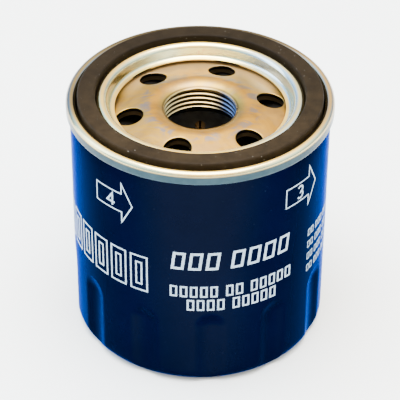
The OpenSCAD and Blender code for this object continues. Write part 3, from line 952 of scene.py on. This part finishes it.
def zinc_steel():
    s = Shader("zinc_plated_steel")
    r, z = s.radius_and_height()
    fine = s.noise(s.coords, 700, 5, 0.7)
    cloud = s.noise(s.coords, 95, 5, 0.62, 1.2)
    brown, gold, pale = (0.21, 0.125, 0.04), (0.32, 0.18, 0.024), (0.42, 0.245, 0.035)
    base = s.ramp(cloud, [(0.28, brown), (0.45, gold), (0.68, pale)])
    smoke = s.noise(s.stretched((1.0, 1.7, 1.0)), 120, 3, 0.5, 2.0)
    haze = s.ramp(smoke, [(0.47, (0, 0, 0)), (0.58, (1, 1, 1))])
    near_bore = s.both(s.fade(r, 13.6, 14.8), s.fade(r, 18.0, 16.2))
    colour = s.mix(s.math("MULTIPLY", haze, s.spread(near_bore, 0.2, 0.85)), base, (0.13, 0.13, 0.175))
    colour = s.mix(s.spread(fine, 0.0, 0.25), colour, (0.34, 0.21, 0.06))
    # painted light: towards the rear of the rim the colour turns an even tan and less metallic, so it stays
    # bright there
    right, rear = s.heading()
    rim = s.both(s.fade(r, 18.5, 22.5), s.fade(z, PLATE_TOP - 0.3, PLATE_TOP - 0.1))
    rear_rim_painted_light = s.both(rim, s.fade(rear, 0.15, 0.65))
    colour = s.mix(s.math("MULTIPLY", rear_rim_painted_light, 0.8), colour, (0.34, 0.2, 0.075))
    # painted shade and light in the holes: their walls are dark where the punch sheared them and lighter
    # where they broke out
    steep = s.fade(s.steepness(), 0.25, 0.7)
    dished = s.math("ADD", z, s.math("MULTIPLY", r, math.tan(DISH)))
    below = s.math("SUBTRACT", PLATE_TOP + DISH_R * math.tan(DISH), dished)
    hole = s.both(steep, s.fade(r, 15.4, 15.8), s.fade(r, 25.2, 24.9))
    torn = s.fade(below, 1.05, 1.25)
    hole_wall_painted_shade = s.mix(torn, (0.03, 0.022, 0.015), (0.3, 0.2, 0.1))
    colour = s.mix(hole, colour, hole_wall_painted_shade)
    # painted shade in the roots of the thread
    root = s.both(s.fade(r, MINOR_R + 0.12, MAJOR_R - 0.25), s.fade(r, 11.6, 11.3))
    root = s.both(root, s.fade(z, MOUTH_Z + 0.1, MOUTH_Z - 0.3))
    # painted reflection and shade on the thread: gold towards -X, then brown, then blue towards +X
    thread = s.both(s.fade(r, 11.4, 11.1), s.fade(z, MOUTH_Z - 0.2, MOUTH_Z - 0.8))
    gold, brown, blue = (0.62, 0.42, 0.16), (0.3, 0.21, 0.1), (0.05, 0.08, 0.16)
    sides = s.ramp(s.spread(right, -0.1, 1.1), [(0.3, gold), (0.5, brown), (0.7, blue)])
    colour = s.mix(thread, colour, sides)
    colour = s.mix(s.math("MULTIPLY", root, 0.93), colour, (0.03, 0.02, 0.012))
    rough = s.spread(cloud, 0.28, 0.42)
    rings = s.noise(s.round_coords(1.2, 1500, 1500), 1.0, 3, 0.6)
    grain = s.bump(fine, 0.000012, 0.5, s.bump(rings, 0.00001, 0.25))
    metal = s.math("SUBTRACT", 1.0, s.math("MULTIPLY", rear_rim_painted_light, 0.55))
    return s.set(Base_Color=colour, Metallic=metal, Roughness=rough, Normal=grain)


def black_rubber(name, dark, light, shine, painted_rear_shade=0.0):
    """Rubber with pale dust; its last argument sets how much painted shade darkens its +Y side."""
    s = Shader(name)
    cloud = s.noise(s.coords, 260, 6, 0.7)
    base = s.ramp(cloud, [(0.3, dark), (0.7, light)])
    patches = s.fade(s.noise(s.coords, 75, 3, 0.6), 0.4, 0.65)
    base = s.mix(s.math("MULTIPLY", patches, 0.35), base, tuple(1.5 * v for v in light))
    # painted shade: darker towards +Y
    rear = s.fade(s.heading()[1], -0.9, 0.9)
    base = s.mix(s.math("MULTIPLY", rear, painted_rear_shade), base, tuple(0.5 * v for v in dark))
    specks = s.ramp(s.noise(s.coords, 1300, 2, 0.5), [(0.72, (0, 0, 0)), (0.76, (1, 1, 1))])
    colour = s.mix(s.math("MULTIPLY", specks, 0.3), base, (0.35, 0.32, 0.28))
    rough = s.spread(s.noise(s.coords, 420, 4, 0.6), 0.5, 0.72)
    grain = s.bump(cloud, 0.00004, 0.7)
    return s.set(Base_Color=colour, Roughness=rough, Normal=grain, Specular_IOR_Level=shine)


def ink():
    s = Shader("pale_ink")
    wear = s.noise(s.coords, 900, 5, 0.7)
    colour = s.ramp(wear, [(0.3, (0.18, 0.27, 0.36)), (0.55, (0.3, 0.4, 0.5)), (0.8, (0.38, 0.48, 0.58))])
    return s.set(Base_Color=colour, Roughness=s.spread(wear, 0.32, 0.5), Normal=s.bump(wear, 0.000005, 0.4))


def inner_steel(name, dark, light, rough_low=0.25, rough_high=0.42):
    s = Shader(name)
    cloud = s.noise(s.coords, 180, 5, 0.65)
    colour = s.ramp(cloud, [(0.3, dark), (0.7, light)])
    scratches = s.noise(s.stretched((1.0, 1.0, 14.0)), 350, 3, 0.6)
    return s.set(
        Base_Color=colour,
        Metallic=1.0,
        Roughness=s.spread(cloud, rough_low, rough_high),
        Normal=s.bump(scratches, 0.00001, 0.4),
    )


def filter_paper():
    s = Shader("filter_paper")
    fibres = s.noise(s.stretched((1.0, 1.0, 0.25)), 2200, 5, 0.75)
    cloud = s.noise(s.coords, 120, 4, 0.6)
    base = s.ramp(cloud, [(0.3, (0.2, 0.11, 0.04)), (0.7, (0.28, 0.17, 0.07))])
    colour = s.mix(s.spread(fibres, 0.0, 0.4), base, (0.14, 0.07, 0.025))
    rough = s.spread(fibres, 0.75, 0.95)
    return s.set(Base_Color=colour, Roughness=rough, Normal=s.bump(fibres, 0.00005, 0.6))


def potting(name, dark, light):
    s = Shader(name)
    cloud = s.noise(s.coords, 240, 5, 0.6, 0.6)
    colour = s.ramp(cloud, [(0.3, dark), (0.7, light)])
    return s.set(Base_Color=colour, Roughness=s.spread(cloud, 0.4, 0.65), Normal=s.bump(cloud, 0.00005, 0.6))


def pale_floor():
    s = Shader("pale_floor")
    cloud = s.noise(s.coords, 9, 4, 0.6)
    colour = s.ramp(cloud, [(0.3, (0.90, 0.90, 0.90)), (0.7, (0.93, 0.93, 0.93))])
    return s.set(Base_Color=colour, Roughness=s.spread(cloud, 0.75, 0.9), Specular_IOR_Level=0.1)


# ---------------------------------------------------------------- build


def dress(obj, material):
    """Gives every face of a piece one material."""
    obj.data.materials.clear()
    obj.data.materials.append(material)
    for polygon in obj.data.polygons:
        polygon.material_index = 0


can, lid, gasket, plate = make_can(), make_lid(), make_gasket(), make_plate()
diaphragm, coil, leaves = make_diaphragm(), make_coil(), make_leaf_spring()
arrows, blocks = make_arrows(), make_blocks()
black = black_rubber("gasket_rubber", (0.0064, 0.0038, 0.0018), (0.0165, 0.0102, 0.0048), 0.05, 0.6)
for obj, node, slot, material in (
    (can, "can", "painted_can", painted_can()),
    (lid, "seaming_lid", "tinplate", tinplate()),
    (gasket, "gasket", "gasket_rubber", black),
    (plate, "tapping_plate", "zinc_plated_steel", zinc_steel()),
):
    dress(obj, material)
    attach(obj, "shell")
    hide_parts(node)
pale_ink = ink()
for obj in (arrows, blocks):
    dress(obj, pale_ink)
    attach(obj, "shell")

steel = inner_steel("inner_steel", (0.13, 0.12, 0.11), (0.24, 0.23, 0.21), 0.35, 0.5)
springs = inner_steel("spring_steel", (0.16, 0.16, 0.17), (0.27, 0.27, 0.29), 0.25, 0.4)
seals = black_rubber("valve_rubber", (0.003, 0.0026, 0.0022), (0.009, 0.0078, 0.0066), 0.05)
glue = potting("adhesive", (0.2, 0.15, 0.09), (0.32, 0.25, 0.16))
INSIDE = {
    "plate_welds": inner_steel("weld_steel", (0.15, 0.14, 0.14), (0.3, 0.28, 0.27), 0.4, 0.6),
    "seam_compound": potting("seam_sealant", (0.42, 0.42, 0.38), (0.6, 0.6, 0.55)),
    "bypass_seal": seals,
    "upper_adhesive": glue,
    "lower_adhesive": glue,
    "pleated_paper": filter_paper(),
}
REPLACED = {"can", "seaming_lid", "gasket", "tapping_plate"}

# the soft pieces, with their CAD node, mesh, material, slot, body, joint, the height of the end that stays
# in place, and travel; each is dressed, attached to its body and given a mesh of its own
VALVE, LEAF, COIL = "anti_drain_valve", "element_spring", "bypass_spring"
SOFT = (
    (VALVE, diaphragm, seals, "valve_rubber", "drain_valve", "drain_lip_open", top_of(VALVE).z, LIP_TRAVEL),
    (LEAF, leaves, springs, "spring_steel", "shell", "element_float", base_of(LEAF), FLOAT_TRAVEL),
    (COIL, coil, springs, "spring_steel", "element", "bypass_lift", top_of(COIL).z, LIFT_TRAVEL),
)
for node, obj, material, slot, body, joint, fixed, travel in SOFT:
    dress(obj, material)
    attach(obj, body)
    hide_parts(node)
    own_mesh(obj)
    REPLACED.add(node)
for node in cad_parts:
    if node not in REPLACED:
        dress(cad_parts[node], INSIDE.get(node, steel))

# ---------------------------------------------------------------- floor, light and camera

bpy.ops.mesh.primitive_grid_add(x_subdivisions=8, y_subdivisions=8, size=4.0, location=(0, 0, CAD_LOW.z))
floor = bpy.context.object
floor.name = "floor"
dress(floor, pale_floor())


def softbox(name, azimuth, elevation, distance, size, power, colour):
    """Square soft light aimed at the filter; azimuth 0 is the -Y side and 90 the +X side."""
    a, e = math.radians(azimuth), math.radians(elevation)
    aim = Vector((0, 0, 0.05))
    place = aim + distance * Vector((math.sin(a) * math.cos(e), -math.cos(a) * math.cos(e), math.sin(e)))
    data = bpy.data.lights.new(name, "AREA")
    data.shape, data.size, data.size_y = "RECTANGLE", size[0], size[1]
    data.energy, data.color = power, colour
    light = bpy.data.objects.new(name, data)
    light.location = place
    light.rotation_euler = (place - aim).to_track_quat("Z", "Y").to_euler()
    bpy.context.scene.collection.objects.link(light)


softbox("top_soft", 0, 86, 1.1, (0.9, 0.9), 58, (0.93, 0.97, 1.0))
softbox("left_side", -100, 30, 0.9, (0.5, 0.8), 8, (0.8, 0.91, 1.0))

world = bpy.data.worlds.new("studio")
bpy.context.scene.world = world
world.use_nodes = True
nodes, links = world.node_tree.nodes, world.node_tree.links
backdrop = next(n for n in nodes if n.type == "BACKGROUND")
direction = nodes.new("ShaderNodeSeparateXYZ")
links.new(nodes.new("ShaderNodeTexCoord").outputs["Generated"], direction.inputs[0])


def backdrop_ramp(axis, stops):
    """Colours along one axis of the view direction, from -1 to 1."""
    place = nodes.new("ShaderNodeMapRange")
    place.inputs["From Min"].default_value = -1.0
    links.new(direction.outputs[axis], place.inputs["Value"])
    ramp = nodes.new("ShaderNodeValToRGB")
    links.new(place.outputs[0], ramp.inputs[0])
    bar = ramp.color_ramp
    while len(bar.elements) < len(stops):
        bar.elements.new(0.5)
    for element, (at, colour) in zip(bar.elements, stops):
        element.position = (at + 1) / 2
        element.color = (*colour, 1)
    return ramp.outputs[0]


# pale up to just over the horizon, then dark, and brighter again towards the top
warm = (
    (0.08, (0.86, 0.86, 0.85)),
    (0.13, (0.25, 0.22, 0.18)),
    (0.3, (0.34, 0.27, 0.16)),
    (0.5, (0.58, 0.42, 0.17)),
    (0.68, (0.72, 0.53, 0.22)),
    (0.86, (1.0, 0.73, 0.29)),
    (0.97, (1.0, 0.9, 0.65)),
)
cool = (
    (0.08, (0.86, 0.86, 0.85)),
    (0.13, (0.06, 0.12, 0.2)),
    (0.3, (0.12, 0.22, 0.36)),
    (0.65, (0.32, 0.56, 0.86)),
    (0.95, (0.85, 0.95, 1.0)),
)
sides = ((-0.42, (1, 1, 1)), (-0.1, (0, 0, 0)), (0.3, (0, 0, 0)), (0.6, (0.85, 0.85, 0.85)))
blend = nodes.new("ShaderNodeMix")
blend.data_type = "RGBA"
links.new(backdrop_ramp(0, sides), blend.inputs[0])
links.new(backdrop_ramp(2, warm), blend.inputs[6])
links.new(backdrop_ramp(2, cool), blend.inputs[7])
links.new(blend.outputs[2], backdrop.inputs["Color"])
backdrop.inputs["Strength"].default_value = 5.2

# Camera: the photograph's angle, about 35 degrees above the horizon on the -Y side
ELEVATION, ROLL, DISTANCE, AIM_Z = 35.48, 0.43, 521.8, 58.25
LENS, SENSOR, SHIFT = 163.4, 36, -0.1366
camera_data = bpy.data.cameras.new("camera")
camera_data.lens = LENS
camera_data.sensor_width = SENSOR
camera_data.shift_y = SHIFT
camera_data.clip_start, camera_data.clip_end = 0.01, 20
camera = bpy.data.objects.new("camera", camera_data)
rise = math.radians(ELEVATION)
back = Vector((0, -math.cos(rise), math.sin(rise)))
camera.location = (Vector((0, 0, AIM_Z)) + back * DISTANCE) * MM
camera.rotation_mode = "QUATERNION"
level = (-back).to_track_quat("-Z", "Y")
camera.rotation_quaternion = level @ Matrix.Rotation(math.radians(ROLL), 4, "Z").to_quaternion()
bpy.context.scene.collection.objects.link(camera)
bpy.context.scene.camera = camera
